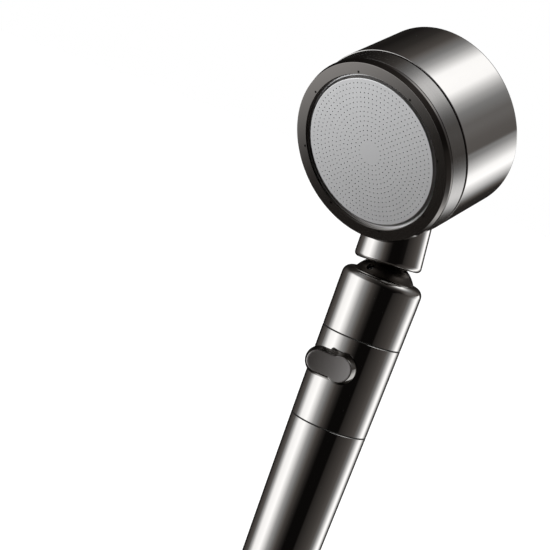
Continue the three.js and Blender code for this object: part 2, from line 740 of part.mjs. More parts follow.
const joint = new THREE.Group();
joint.position.z = BALL.height;
showerHead.add(joint);
buildSeats(joint);

const leaning = new THREE.Group();
leaning.rotation.y = NECK_LEAN;
joint.add(leaning);
buildBall(leaning);

const neck = new THREE.Group();
neck.rotation.z = NECK_YAW;
leaning.add(neck);

const face = new THREE.Group();
face.rotation.x = SPRAY_DIP - Math.PI / 2;
face.position.set(
  0,
  -CROSSING.depth * Math.cos(SPRAY_DIP),
  CROSSING.neckReach - CROSSING.depth * Math.sin(SPRAY_DIP),
);
face.updateMatrix();
neck.add(face);
add(neck, 'neck_socket', neckSocket(face.matrix), MATERIAL.polished);
buildHead(face);

export default showerHead;
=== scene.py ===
"""The looks of the handheld shower head: fine turned shells, finishes, studio and camera.

Shapes are drawn in millimetres in the frame of the group that they belong to, as the CAD draws
them, and stored in metres.
"""

import json
import math

import bmesh
import bpy
from mathutils import Matrix, Vector
from mathutils.geometry import delaunay_2d_cdt


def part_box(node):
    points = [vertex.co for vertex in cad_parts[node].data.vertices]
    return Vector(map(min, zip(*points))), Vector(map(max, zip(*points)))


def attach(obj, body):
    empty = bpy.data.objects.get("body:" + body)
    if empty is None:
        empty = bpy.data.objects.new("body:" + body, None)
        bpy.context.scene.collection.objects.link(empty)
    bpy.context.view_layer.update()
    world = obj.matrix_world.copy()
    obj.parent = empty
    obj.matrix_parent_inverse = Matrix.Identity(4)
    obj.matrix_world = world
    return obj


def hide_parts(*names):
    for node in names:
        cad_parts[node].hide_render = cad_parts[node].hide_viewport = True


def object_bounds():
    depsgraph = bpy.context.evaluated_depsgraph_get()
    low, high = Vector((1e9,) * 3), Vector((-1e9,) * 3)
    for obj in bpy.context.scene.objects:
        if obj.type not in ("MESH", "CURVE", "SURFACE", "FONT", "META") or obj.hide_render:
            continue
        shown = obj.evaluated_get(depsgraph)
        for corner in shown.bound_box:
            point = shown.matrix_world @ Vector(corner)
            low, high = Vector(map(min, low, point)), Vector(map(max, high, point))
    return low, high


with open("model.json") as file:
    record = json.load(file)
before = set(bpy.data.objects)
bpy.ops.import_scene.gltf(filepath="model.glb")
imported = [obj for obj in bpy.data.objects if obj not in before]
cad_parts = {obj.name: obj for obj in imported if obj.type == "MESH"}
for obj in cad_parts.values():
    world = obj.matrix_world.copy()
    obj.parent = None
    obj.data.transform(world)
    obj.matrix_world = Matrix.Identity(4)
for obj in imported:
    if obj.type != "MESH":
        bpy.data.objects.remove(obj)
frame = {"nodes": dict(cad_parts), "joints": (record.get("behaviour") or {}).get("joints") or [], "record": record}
cad_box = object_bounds()

# ---------------------------------------------------------------- frames and sizes

MM = 0.001
TINY = 1e-6
DRUM_SIDES = 256  # how many sides a turned piece has, from the drum down to a small rod
FINE = 192
MEDIUM = 96
SMALL = 48

JOINTS = {joint["name"]: joint for joint in frame["joints"]}
NECK_YAW = math.radians(1)
SPRAY_DIP = math.radians(30)
NECK_REACH = 75.5
HEAD_DEPTH = 42.2


def turn(axis, angle):
    return Matrix.Rotation(angle, 4, axis)


def shift(x, y, z):
    return Matrix.Translation((x * MM, y * MM, z * MM))


def ball_frame():
    """The ball's centre, with Z along the neck."""
    axis = JOINTS["head_spin"]["axis"]
    centre = Matrix.Translation(JOINTS["head_tilt"]["pos_m"])
    return centre @ turn("Y", math.atan2(axis[0], axis[2]))


def face_frame():
    """The middle of the spray face, with Z into the drum."""
    offset = shift(
        0,
        -HEAD_DEPTH * math.cos(SPRAY_DIP),
        NECK_REACH - HEAD_DEPTH * math.sin(SPRAY_DIP),
    )
    return neck_frame() @ offset @ turn("X", SPRAY_DIP - math.pi / 2)


def neck_frame():
    """The ball's frame, turned to the drum's own heading."""
    return ball_frame() @ turn("Z", NECK_YAW)


def valve_frame():
    """The valve's centre, with Z out of the handle along the lever's axis."""
    axis = JOINTS["stop_lever_turn"]["axis"]
    centre = Matrix.Translation(JOINTS["stop_lever_turn"]["pos_m"])
    return centre @ turn("Z", math.atan2(axis[0], -axis[1])) @ turn("X", math.pi / 2)


HANDLE = Matrix.Identity(4)
BALL = ball_frame()
NECK = neck_frame()
FACE = face_frame()
VALVE = valve_frame()

BALL_HEIGHT = JOINTS["head_tilt"]["pos_m"][2] / MM
HANDLE_BOTTOM = 14
HANDLE_TOP = BALL_HEIGHT + 7.2
HANDLE_FOOT_RADIUS = 15.7
HANDLE_WIDENING = 2.25
HANDLE_BELLY = 1.0
LOWER_SEAM = 86.8
UPPER_SEAM = 127.1
SEAM_HALF = 0.25
SEAM_CHAMFER = 0.1
WALL = 1.3


def handle_radius(z):
    """The handle widens from foot to top, with a slight belly between."""
    t = (z - HANDLE_BOTTOM) / (HANDLE_TOP - HANDLE_BOTTOM)
    return HANDLE_FOOT_RADIUS + HANDLE_WIDENING * t + HANDLE_BELLY * t * (1 - t)


# ---------------------------------------------------------------- mesh helpers


def new_object(name, mesh, matrix):
    obj = bpy.data.objects.new(name, mesh)
    bpy.context.scene.collection.objects.link(obj)
    obj.matrix_world = matrix
    return obj


WELD = 1e-7  # metres
SHARP = 32  # degrees between two faces from which their edge is sharp


def finish_mesh(mesh, sharp=SHARP):
    """Closes small gaps, points the faces out and leaves only real edges sharp."""
    bm = bmesh.new()
    bm.from_mesh(mesh)
    bmesh.ops.remove_doubles(bm, verts=bm.verts, dist=WELD)
    bmesh.ops.recalc_face_normals(bm, faces=bm.faces)
    bm.to_mesh(mesh)
    bm.free()
    mesh.shade_smooth()
    mesh.set_sharp_from_angle(angle=math.radians(sharp))


def rounded(corners, steps=5, support=0.12):
    """A turned outline from (r, z) or (r, z, radius) corners, with arcs at the rounded ones.

    A point is added just before and after each arc, so that flats keep their own shading.
    """
    out = []
    count = len(corners)
    for i, corner in enumerate(corners):
        if len(corner) == 2:
            out.append(corner)
            continue
        here = Vector(corner[:2])
        to_last = (Vector(corners[i - 1][:2]) - here).normalized()
        to_next = (Vector(corners[(i + 1) % count][:2]) - here).normalized()
        half = to_last.angle(to_next) / 2
        reach = corner[2] / math.tan(half)
        centre = here + (to_last + to_next).normalized() * corner[2] / math.sin(half)
        start = here + to_last * reach
        end = here + to_next * reach
        out.append(tuple(start + to_last * support))
        for k in range(steps + 1):
            way = (start - centre).slerp(end - centre, k / steps)
            out.append(tuple(centre + way * corner[2]))
        out.append(tuple(end + to_next * support))
    return out


def lathe(name, outline, matrix, sides=FINE, warp=None):
    """A closed solid turned about Z. warp changes a point's radius from its place and angle."""
    verts, faces, rings = [], [], []
    for r, z in outline:
        if r < TINY:
            rings.append([len(verts)] * sides)
            verts.append((0, 0, z * MM))
            continue
        rings.append(list(range(len(verts), len(verts) + sides)))
        for k in range(sides):
            a = 2 * math.pi * k / sides
            radius = warp(r, z, a) if warp else r
            verts.append((radius * math.cos(a) * MM, radius * math.sin(a) * MM, z * MM))
    on_axis = outline[0][0] < TINY and outline[-1][0] < TINY
    pairs = list(zip(rings, rings[1:])) + ([] if on_axis else [(rings[-1], rings[0])])
    for low, high in pairs:
        for k in range(sides):
            n = (k + 1) % sides
            corner = [low[k], low[n], high[n], high[k]]
            face = [v for j, v in enumerate(corner) if v != corner[j - 1]]
            if len(face) > 2:
                faces.append(face)
    mesh = bpy.data.meshes.new(name)
    mesh.from_pydata(verts, [], faces)
    finish_mesh(mesh)
    return new_object(name, mesh, matrix)


def rod(radius, bottom, top, matrix, sides=SMALL):
    """A plain cylinder along Z, for cutting with."""
    return lathe("tool", [(0, bottom), (radius, bottom), (radius, top), (0, top)], matrix, sides)


def carve(obj, *tools, sharp=SHARP):
    """Cuts the tools out of obj and removes them."""
    for tool in tools:
        cut = obj.modifiers.new("cut", "BOOLEAN")
        cut.object = tool
        cut.operation = "DIFFERENCE"
        cut.solver = "EXACT"
    bpy.context.view_layer.update()
    evaluated = obj.evaluated_get(bpy.context.evaluated_depsgraph_get())
    mesh = bpy.data.meshes.new_from_object(evaluated)
    obj.modifiers.clear()
    obj.data = mesh
    finish_mesh(mesh, sharp)
    for tool in tools:
        bpy.data.objects.remove(tool)
    return obj


def piece(obj, body, slot, material, *nodes):
    """Puts a finished piece on its body, with its finish, in place of its CAD nodes."""
    obj.data.materials.clear()
    obj.data.materials.append(material)
    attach(obj, body)
    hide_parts(*nodes)


# ---------------------------------------------------------------- node helpers


class Tree:
    """Short calls for building a node tree."""

    def __init__(self, tree):
        self.tree = tree
        tree.nodes.clear()

    def add(self, kind, values=None, **settings):
        node = self.tree.nodes.new(kind)
        for key, value in settings.items():
            setattr(node, key, value)
        for key, value in (values or {}).items():
            self.put(node.inputs[key], value)
        return node

    def put(self, socket, value):
        """Links a socket into another, or sets a plain value on it."""
        if isinstance(value, bpy.types.NodeSocket):
            self.tree.links.new(value, socket)
        else:
            socket.default_value = value

    def math(self, operation, a, b=0.0):
        return self.add("ShaderNodeMath", {0: a, 1: b}, operation=operation).outputs[0]

    def step(self, value, start, end):
        """0 before start and 1 after end, smooth in between."""
        node = self.add(
            "ShaderNodeMapRange",
            {"Value": value, "From Min": start, "From Max": end, "To Min": 0.0, "To Max": 1.0},
            interpolation_type="SMOOTHSTEP",
        )
        return node.outputs["Result"]

    def spread(self, value, low, high):
        """Takes a value from 0..1 to low..high."""
        node = self.add(
            "ShaderNodeMapRange",
            {"Value": value, "From Min": 0.0, "From Max": 1.0, "To Min": low, "To Max": high},
        )
        return node.outputs["Result"]

    def noise(self, vector, scale, detail=3.0, roughness=0.55):
        node = self.add(
            "ShaderNodeTexNoise",
            {"Vector": vector, "Scale": scale, "Detail": detail, "Roughness": roughness},
        )
        return node.outputs["Fac"]

    def mix(self, factor, a, b):
        node = self.add("ShaderNodeMix", data_type="RGBA")
        self.put(node.inputs["Factor"], factor)
        self.put(node.inputs[6], a)
        self.put(node.inputs[7], b)
        return node.outputs[2]

    def ramp(self, factor, stops):
        """A straight-lined curve through stops of (place, grey)."""
        node = self.add("ShaderNodeValToRGB", {"Fac": factor})
        elements = node.color_ramp.elements
        while len(elements) > 1:
            elements.remove(elements[-1])
        for i, (place, grey) in enumerate(stops):
            element = elements[0] if i == 0 else elements.new(place)
            element.position = place
            element.color = (grey, grey, grey, 1)
        return node.outputs["Color"]

    def object_place(self):
        return self.add("ShaderNodeTexCoord").outputs["Object"]

    def around(self, along_scale, round_scale):
        """Coordinates that run slowly round local Z and fast across it, for turned marks."""
        split = self.add("ShaderNodeSeparateXYZ", {0: self.object_place()})
        x, y, z = split.outputs
        squares = self.math("ADD", self.math("POWER", x, 2.0), self.math("POWER", y, 2.0))
        radius = self.math("SQRT", squares)
        angle = self.math("ARCTAN2", y, x)
        joined = self.add(
            "ShaderNodeCombineXYZ",
            {
                "X": self.math("MULTIPLY", radius, along_scale),
                "Y": self.math("MULTIPLY", angle, round_scale),
                "Z": self.math("MULTIPLY", z, along_scale),
            },
        )
        return joined.outputs[0]


def principled(name, colour, metallic, **values):
    """A new material with a principled shader, returned with its tree and its shader."""
    mat = bpy.data.materials.new(name)
    mat.use_nodes = True
    mat.diffuse_color = (*colour, 1)
    tree = Tree(mat.node_tree)
    shader = tree.add("ShaderNodeBsdfPrincipled", {"Base Color": (*colour, 1), "Metallic": metallic})
    for key, value in values.items():
        shader.inputs[key.replace("_", " ").title()].default_value = value
    out = tree.add("ShaderNodeOutputMaterial")
    tree.tree.links.new(shader.outputs[0], out.inputs["Surface"])
    return mat, tree, shader


def shaded(tree, shader, colour, vary, amount, rough_low, rough_high, rough_noise):
    """Lets the colour vary by amount between two noises and the roughness between two limits."""
    dark = tuple(c * (1 - amount) for c in colour)
    tree.put(shader.inputs["Base Color"], tree.mix(vary, (*dark, 1), (*colour, 1)))
    tree.put(shader.inputs["Roughness"], tree.spread(rough_noise, rough_low, rough_high))


def bump(tree, shader, height, strength, distance):
    """Tilts the surface by a noise; distance is in millimetres."""
    node = tree.add(
        "ShaderNodeBump", {"Height": height, "Strength": strength, "Distance": distance * MM}
    )
    tree.put(shader.inputs["Normal"], node.outputs[0])


# ---------------------------------------------------------------- finishes


def polished_metal():
    """Buffed dark nickel: nearly a mirror, with a faint haze and hair-thin wiping marks."""
    colour = (0.595, 0.583, 0.57)
    mat, tree, shader = principled("polished_gunmetal_finish", colour, 1.0)
    place = tree.object_place()
    cloud = tree.noise(place, 40.0)
    hair = tree.noise(tree.around(5000.0, 6.0), 1.0, 2.0)
    shaded(tree, shader, colour, cloud, 0.05, 0.045, 0.1, hair)
    bump(tree, shader, hair, 0.02, 0.01)
    return mat


def satin_metal():
    """Dark nickel brushed round the axis, so that highlights spread across the marks."""
    colour = (0.4, 0.392, 0.384)
    mat, tree, shader = principled(
        "satin_gunmetal_finish", colour, 1.0, anisotropic=0.6, anisotropic_rotation=0.25
    )
    marks = tree.noise(tree.around(9000.0, 4.0), 1.0, 4.0, 0.7)
    broad = tree.noise(tree.around(1200.0, 2.0), 1.0, 2.0)
    shaded(tree, shader, colour, marks, 0.2, 0.15, 0.24, broad)
    bump(tree, shader, marks, 0.18, 0.03)
    tangent = tree.add("ShaderNodeTangent", direction_type="RADIAL", axis="Z")
    tree.put(shader.inputs["Tangent"], tangent.outputs[0])
    return mat


def grained_metal(name, colour, low, high, grain=0.1, amount=0.12):
    """A coated or blasted metal with a fine even grain."""
    mat, tree, shader = principled(name, colour, 1.0)
    place = tree.object_place()
    fine = tree.noise(place, 6000.0, 2.0)
    cloud = tree.noise(place, 90.0, 4.0)
    shaded(tree, shader, colour, fine, amount, low, high, cloud)
    bump(tree, shader, fine, grain, 0.02)
    return mat


def turned_metal(name, colour):
    """Machined metal with the marks of the lathe."""
    mat, tree, shader = principled(name, colour, 1.0)
    marks = tree.noise(tree.around(4000.0, 1.0), 1.0, 2.0)
    cloud = tree.noise(tree.object_place(), 120.0, 4.0)
    shaded(tree, shader, colour, cloud, 0.15, 0.22, 0.36, marks)
    bump(tree, shader, marks, 0.12, 0.02)
    return mat


def moulded(name, colour, low, high, grain, scale=2500.0):
    """Moulded rubber or plastic with a fine skin texture."""
    mat, tree, shader = principled(name, colour, 0.0)
    place = tree.object_place()
    skin = tree.noise(place, scale, 3.0)
    cloud = tree.noise(place, 60.0, 4.0)
    shaded(tree, shader, colour, cloud, 0.2, low, high, skin)
    bump(tree, shader, skin, grain, 0.03)
    return mat


def lever_metal():
    """A satin thumb face on a polished skirt whose darker colour is painted shade on the lever's sloping sides."""
    # The skirt's dark colour is painted shade, not the metal's own tone.
    colour, painted_shade_skirt = (0.5, 0.48, 0.475), (0.26, 0.25, 0.24)
    satin_low, satin_high = (0.47, 0.455, 0.45), (0.53, 0.515, 0.51)
    mat, tree, shader = principled("lever_satin_and_shade_finish", colour, 1.0)
    coordinates = tree.add("ShaderNodeTexCoord")
    fine = tree.noise(coordinates.outputs["Object"], 6000.0, 2.0)
    outward = tree.add("ShaderNodeSeparateXYZ", {0: coordinates.outputs["Normal"]}).outputs["Z"]
    # 1 on the thumb face and 0 on the sides, which take the painted shade colour.
    face = tree.step(outward, 0.8, 0.95)
    satin = tree.mix(fine, (*satin_low, 1), (*satin_high, 1))
    tree.put(shader.inputs["Base Color"], tree.mix(face, (*painted_shade_skirt, 1), satin))
    tree.put(shader.inputs["Roughness"], tree.spread(face, 0.1, 0.34))
    bump(tree, shader, fine, 0.08, 0.02)
    return mat


FINISH = {
    "polished_gunmetal": polished_metal(),
    "satin_gunmetal": satin_metal(),
    "dark_bezel": grained_metal("dark_bezel_finish", (0.18, 0.17, 0.162), 0.08, 0.11, 0.02),
    "lever_satin": lever_metal(),
    "ball_black": grained_metal("ball_black_finish", (0.09, 0.079, 0.07), 0.25, 0.32, 0.03),
    "stainless": grained_metal("stainless_finish", (0.72, 0.725, 0.735), 0.28, 0.4, 0.12),
    "brass": turned_metal("brass_finish", (0.72, 0.55, 0.28)),
    "rubber": moulded("rubber_finish", (0.022, 0.021, 0.02), 0.55, 0.75, 0.2),
    "acetal": moulded("acetal_finish", (0.74, 0.72, 0.66), 0.35, 0.5, 0.05),
    "housing": moulded("housing_finish", (0.045, 0.047, 0.05), 0.4, 0.6, 0.15),
}


def finish_cad_nodes():
    """Every CAD node takes its slot's finish; those that are replaced below are hidden."""
    for row in frame["record"]["subparts"]:
        node = frame["nodes"][row["node"]]
        node.data.materials.clear()
        node.data.materials.append(FINISH[row["material_slot"]])


# ---------------------------------------------------------------- handle

LIP_DEPTH = 1.5
LIP_SPHERE = 15.5  # the lip round the ball follows a sphere a little larger than the ball
SHOULDER_ROUND = 3.95
SHOULDER_DROP = 4
SOCKET_RADIUS = 16.3
SOCKET_BOTTOM = 129.7

SEAM_RING = {"sink": 0.3, "depth": 1.9, "half": 0.2}
THREAD = {"radius": 10.48, "pitch": 1.814, "depth": 1.16, "start": 0.7, "end": 11.3}
THREAD_ROWS = 97
THREAD_ROW_STEP = 0.11

COLLAR_BORE = 3.3
COLLAR_THREAD = 5
COLLAR_RADIUS = 6.6
COLLAR_BOTTOM = 12.3
COLLAR_SEAT = 14.2
COLLAR_TOP = 18.9
COLLAR_OPENING = 6.7


def sleeve(name, bottom, top, steps, *tools):
    """A plain stretch of the handle, with a fine chamfer at each end."""
    low, high = bottom + SEAM_CHAMFER, top - SEAM_CHAMFER
    heights = [low + (high - low) * i / steps for i in range(steps + 1)]
    outline = [
        (handle_radius(bottom) - SEAM_CHAMFER, bottom),
        *((handle_radius(z), z) for z in heights),
        (handle_radius(top) - SEAM_CHAMFER, top),
        (handle_radius(top) - WALL, top),
        (handle_radius(bottom) - WALL, bottom),
    ]
    obj = lathe(name, outline, HANDLE)
    return carve(obj, *tools) if tools else obj


def upper_sleeve():
    """The sleeve that holds the ball: a round shoulder and a thin lip round the opening."""
    bottom = UPPER_SEAM + SEAM_HALF
    lip = HANDLE_TOP - LIP_DEPTH
    shoulder = handle_radius(HANDLE_TOP - SHOULDER_DROP)

    def lip_radius(z):
        return math.sqrt(LIP_SPHERE**2 - (z - BALL_HEIGHT) ** 2)

    corners = [
        (handle_radius(bottom) - SEAM_CHAMFER, bottom),
        (handle_radius(bottom), bottom + SEAM_CHAMFER),
        (handle_radius(bottom + 6), bottom + 6),
        (handle_radius(bottom + 12), bottom + 12),
        (shoulder, bottom + 18),
        (shoulder, HANDLE_TOP, SHOULDER_ROUND),
        (lip_radius(HANDLE_TOP - 0.12) - 0.02, HANDLE_TOP),
        (lip_radius(lip), lip),
        (SOCKET_RADIUS, lip),
        (SOCKET_RADIUS, SOCKET_BOTTOM),
        (handle_radius(bottom) - WALL, bottom),
    ]
    return lathe("upper_sleeve_shell", rounded(corners, 14), HANDLE)


def seam_ring(name, z):
    """The dark ring in a seam, sunk a little below the sleeves."""
    outer = handle_radius(z) - SEAM_RING["sink"]
    inner = outer - SEAM_RING["depth"]
    low, high = z - SEAM_RING["half"], z + SEAM_RING["half"]
    return lathe(name, [(inner, low), (outer, low), (outer, high), (inner, high)], HANDLE)


def thread(r, z, angle):
    """A G1/2 thread on the inlet, which runs out at both ends."""
    start, end = THREAD["start"], THREAD["end"]
    if abs(r - THREAD["radius"]) > TINY or not start < z < end:
        return r
    phase = (z / THREAD["pitch"] - angle / (2 * math.pi)) % 1
    depth = min(1.0, max(0.0, 1.3 * abs(2 * phase - 1) - 0.15))
    fade = min(1.0, (z - start) / 0.8, (end - z) / 1.2)
    return r - THREAD["depth"] * depth * fade


def hose_connector():
    """The threaded inlet with its collar, which stops the grip sleeve."""
    crest = THREAD["radius"]
    first = THREAD["start"] + 0.05
    rows = [(crest, first + THREAD_ROW_STEP * i) for i in range(THREAD_ROWS)]
    mouth = [(7, 0.25), (7.25, 0), (9.7, 0)]
    rim = HANDLE_BOTTOM
    collar = rounded([(crest, 12), (15.4, 12, 0.9), (15.4, rim, 0.12), (13.5, rim)])
    outside = [(13.5, 17), (11.5, 17), (11.5, 38)]
    bore = [(8.4, 38), (8.4, 24), (5.6, 24), (5.6, 6.2), (7, 6.2)]
    outline = [*mouth, *rows, (crest, 11.9), *collar, *outside, *bore]
    return lathe("threaded_inlet", outline, HANDLE, MEDIUM, thread)


def bonnet_nut():
    """The round nut under the lever's hub."""
    corners = [
        (COLLAR_BORE, COLLAR_BOTTOM),
        (COLLAR_THREAD, COLLAR_BOTTOM),
        (COLLAR_THREAD, COLLAR_SEAT),
        (COLLAR_RADIUS, COLLAR_SEAT),
        (COLLAR_RADIUS, COLLAR_TOP, 0.3),
        (COLLAR_BORE, COLLAR_TOP),
    ]
    return lathe("valve_collar", rounded(corners, 6), VALVE, MEDIUM)


# ---------------------------------------------------------------- lever

LEVER_DISC = 6.8
LEVER_TIP = 6.3
LEVER_REACH = 9.6
LEVER_FILLET = 1.2
TIP_SLOPE = 1.34  # how much faster the bar's sides move in than the hub's
LEVER_SOCKET = {"radius": 2.7, "bottom": 18, "top": 22.1}
DISH_CURVE = 0.0066  # the thumb face's hollow along the lever
DISH_CENTRE = -4
DISH_DEPTH = 0.5
LEVER_SHARP = 40
LEVER_HUB_STEPS = 40
LEVER_TIP_STEPS = 24
LEVER_FILLET_STEPS = 10
LEVER_BAR_STEPS = 6
# The lever's layers from its underside up: how far the outline moves in, height, on the thumb face.
LEVER_LAYERS = [
    (4.1, 19.2, 0),
    (2.2, 19.2, 0),
    (0.35, 19.2, 0),
    (0.2, 19.25, 0),
    (0.04, 19.42, 0),
    (0, 19.6, 0),
    (0.04, 19.8, 0),
    (0.98, 22.4, 1),
    (1.09, 22.68, 1),
    (1.18, 22.85, 1),
    (1.28, 22.95, 1),
    (1.42, 23, 1),
    (1.9, 23, 1),
    (2.6, 23, 1),
    (3.3, 23, 1),
    (4.1, 23, 1),
]


def lever_outline(inset):
    """The lever's outline in the valve's frame, moved inwards by inset."""
    disc, tip, fillet = LEVER_DISC - inset, LEVER_TIP - TIP_SLOPE * inset, LEVER_FILLET
    x = -math.sqrt((disc + fillet) ** 2 - (tip + fillet) ** 2)
    waist = math.atan2(tip + fillet, x)
    bar = [x + (-LEVER_REACH - x) * i / LEVER_BAR_STEPS for i in range(LEVER_BAR_STEPS + 1)]

    def arc(cx, cy, radius, start, end, steps):
        angles = [start + (end - start) * i / steps for i in range(steps)]
        return [(cx + radius * math.cos(a), cy + radius * math.sin(a)) for a in angles]

    return (
        arc(0, 0, disc, -waist, waist, LEVER_HUB_STEPS)
        + arc(x, tip + fillet, fillet, waist - math.pi, -math.pi / 2, LEVER_FILLET_STEPS)
        + [(place, tip) for place in bar[:-1]]
        + arc(-LEVER_REACH, 0, tip, math.pi / 2, 1.5 * math.pi, LEVER_TIP_STEPS)
        + [(place, -tip) for place in reversed(bar[1:])]
        + arc(x, -tip - fillet, fillet, math.pi / 2, math.pi - waist, LEVER_FILLET_STEPS)
    )


def lever_hollow(x):
    """The thumb face is slightly hollow along its length."""
    return DISH_CURVE * (x - DISH_CENTRE) ** 2 - DISH_DEPTH


def lever_cap(start, count):
    """Closes a lever outline with strips from each point to the one across from it."""
    first = LEVER_HUB_STEPS // 2
    faces = []
    for k in range(first, first + count // 2):
        row = [k, k + 1, (LEVER_HUB_STEPS - k - 1) % count, (LEVER_HUB_STEPS - k) % count]
        faces.append([start + v for j, v in enumerate(row) if v != row[j - 1]])
    return faces


def stop_lever():
    """A hub that runs through a waist into a bar, with a sloping skirt all round."""
    verts, faces = [], []
    count = len(lever_outline(0))
    for inset, height, on_face in LEVER_LAYERS:
        for x, y in lever_outline(inset):
            z = height + (lever_hollow(x) if on_face else 0)
            verts.append((x * MM, y * MM, z * MM))
    for layer in range(len(LEVER_LAYERS) - 1):
        for k in range(count):
            n = (k + 1) % count
            a, b = layer * count, (layer + 1) * count
            faces.append((a + k, a + n, b + n, b + k))
    faces += lever_cap(0, count) + lever_cap(len(verts) - count, count)
    mesh = bpy.data.meshes.new("lever")
    mesh.from_pydata(verts, [], faces)
    finish_mesh(mesh, LEVER_SHARP)
    lever = new_object("thumb_lever", mesh, VALVE)
    socket = rod(LEVER_SOCKET["radius"], LEVER_SOCKET["bottom"], LEVER_SOCKET["top"], VALVE)
    return carve(lever, socket, sharp=LEVER_SHARP)


# ---------------------------------------------------------------- ball joint

BALL_RADIUS = 15
BALL_BOTTOM = -12.5
BALL_TOP = 13
STEM_BORE = 7.3
SCREW_HOLE = 1.6
SCREW_RADIUS = 1.3
SCREW_FOOT = 10.4
SCREW_END = 13.6
SCREW_LIFT = math.radians(39.4)


def swivel_ball():
    """The ball, bored for the stem and cut flat at both ends."""

    def arc(z0, z1, steps):
        a0, a1 = math.asin(z0 / BALL_RADIUS), math.asin(z1 / BALL_RADIUS)
        angles = [a0 + (a1 - a0) * i / steps for i in range(steps + 1)]
        return [(BALL_RADIUS * math.cos(a), BALL_RADIUS * math.sin(a)) for a in angles]

    outline = [(STEM_BORE, BALL_BOTTOM), *arc(BALL_BOTTOM, BALL_TOP, 56), (STEM_BORE, BALL_TOP)]
    return carve(lathe("joint_ball", outline, BALL), rod(SCREW_HOLE, 6, 17, BALL @ screw_direction()))


def screw_direction():
    return turn("X", math.pi / 2 - SCREW_LIFT)


def lock_screw():
    """A grub screw with a hexagon socket."""
    matrix = BALL @ screw_direction()
    corners = [
        (0, SCREW_FOOT),
        (SCREW_RADIUS, SCREW_FOOT),
        (SCREW_RADIUS, SCREW_END, 0.2),
        (0, SCREW_END),
    ]
    obj = lathe("lock_screw_body", rounded(corners, 3, 0.02), matrix, SMALL)
    return carve(obj, rod(1.0, 11.2, 14, matrix, 6))


# ---------------------------------------------------------------- head

DRUM_RADIUS = 40
DRUM_FRONT = 12.6
DRUM_BACK = 49.1
DRUM_BACK_WALL = 1.6
DRUM_BORE = 38.4
INNER_STEP = {"radius": 34.9, "front": 6.7, "back": 14.2}
LIP_BORE = 36.7
BAND_BORE = 38.25
BAND_FRONT = 3.85
BAND_BACK = 12.2
BAND_FRONT_RADIUS = 38.92
BAND_BACK_RADIUS = 39.68
BEZEL_RADIUS = 39.15
BEZEL_BORE = 33.25
BEZEL_BEVEL = {"width": 0.8, "length": 2.35}
BEZEL_SKIRT = 38
BEZEL_SKIRT_WALL = 1
BEZEL_SKIRT_END = 11.8
BEZEL_BACK = 3.5
PLATE_SEAT = {"radius": 34.6, "front": 1.9, "back": 3.8}
NECK_FOOT = 12.2
NECK_RADIUS = 14.9
NECK_END = 46
NECK_END_RADIUS = 13.4
NECK_MOUTH = {"radius": 10, "top": 13.5}
STEM_ROOM = (11, 23.8)
RISER = {"radius": 4, "bottom": 21.3, "top": 27.5, "back": 4}
NECK_GAP = 0.12
PORT_RADIUS = 5.5
PORT_DEPTH = 23.5  # of the water's way from the neck into the drum, behind the spray face
DOTS = {"count": 8, "radius": 0.5, "depth": 1.2, "circle": 34.4, "turn": math.radians(-7.2)}


def drum_envelope(gap):
    """The outside of the drum and its rings, grown by a gap, to trim the neck with."""
    rings, drum = BAND_BACK_RADIUS + 0.02 + gap, DRUM_RADIUS + gap
    step, back = BAND_BACK + 0.1, DRUM_BACK - 0.1
    outline = [(0, -1), (rings, -1), (rings, step), (drum, step), (drum, back), (0, back)]
    return lathe("tool", outline, FACE)


def water_port(bottom, top):
    """The bore across the drum's wall, in line with the neck."""
    place = FACE @ shift(0, 0, PORT_DEPTH) @ turn("X", -math.pi / 2)
    return rod(PORT_RADIUS, bottom, top, place)


def neck_socket():
    """The neck: round where it meets the ball, and cut to the drum at its other end."""
    corners = [
        (0, NECK_MOUTH["top"]),
        (NECK_MOUTH["radius"], NECK_MOUTH["top"]),
        (NECK_MOUTH["radius"], NECK_FOOT, 0.3),
        (NECK_RADIUS, NECK_FOOT, 2.0),
        (NECK_END_RADIUS, NECK_END),
        (0, NECK_END),
    ]
    obj = lathe("neck_body", rounded(corners, 10), NECK)
    stem_bore = rod(STEM_BORE, *STEM_ROOM, NECK)
    riser = rod(RISER["radius"], RISER["bottom"], RISER["top"], NECK @ shift(0, RISER["back"], 0))
    return carve(obj, stem_bore, riser, water_port(36, 47), drum_envelope(NECK_GAP))


def head_cup():
    """The drum: a mirror-like tube with a flat back and a tight outer edge."""
    inside = DRUM_BACK - DRUM_BACK_WALL
    corners = [
        (0, inside),
        (DRUM_BORE, inside, 1),
        (DRUM_BORE, INNER_STEP["back"]),
        (INNER_STEP["radius"], INNER_STEP["back"]),
        (INNER_STEP["radius"], INNER_STEP["front"]),
        (LIP_BORE, INNER_STEP["front"]),
        (LIP_BORE, DRUM_FRONT),
        (DRUM_RADIUS, DRUM_FRONT, 0.22),
        (DRUM_RADIUS, DRUM_BACK, 1.15),
        (0, DRUM_BACK),
    ]
    return carve(lathe("drum_shell", rounded(corners, 8), FACE, DRUM_SIDES), water_port(36, 42))


def face_ring():
    """The brushed band in front of the drum, with a small chamfer on each edge."""
    corners = [
        (BAND_BORE, BAND_FRONT),
        (BAND_FRONT_RADIUS - 0.22, BAND_FRONT),
        (BAND_FRONT_RADIUS, BAND_FRONT + 0.25),
        (BAND_BACK_RADIUS, BAND_BACK - 0.35),
        (BAND_BACK_RADIUS - 0.28, BAND_BACK),
        (BAND_BORE, BAND_BACK),
    ]
    return lathe("brushed_band", corners, FACE, DRUM_SIDES)


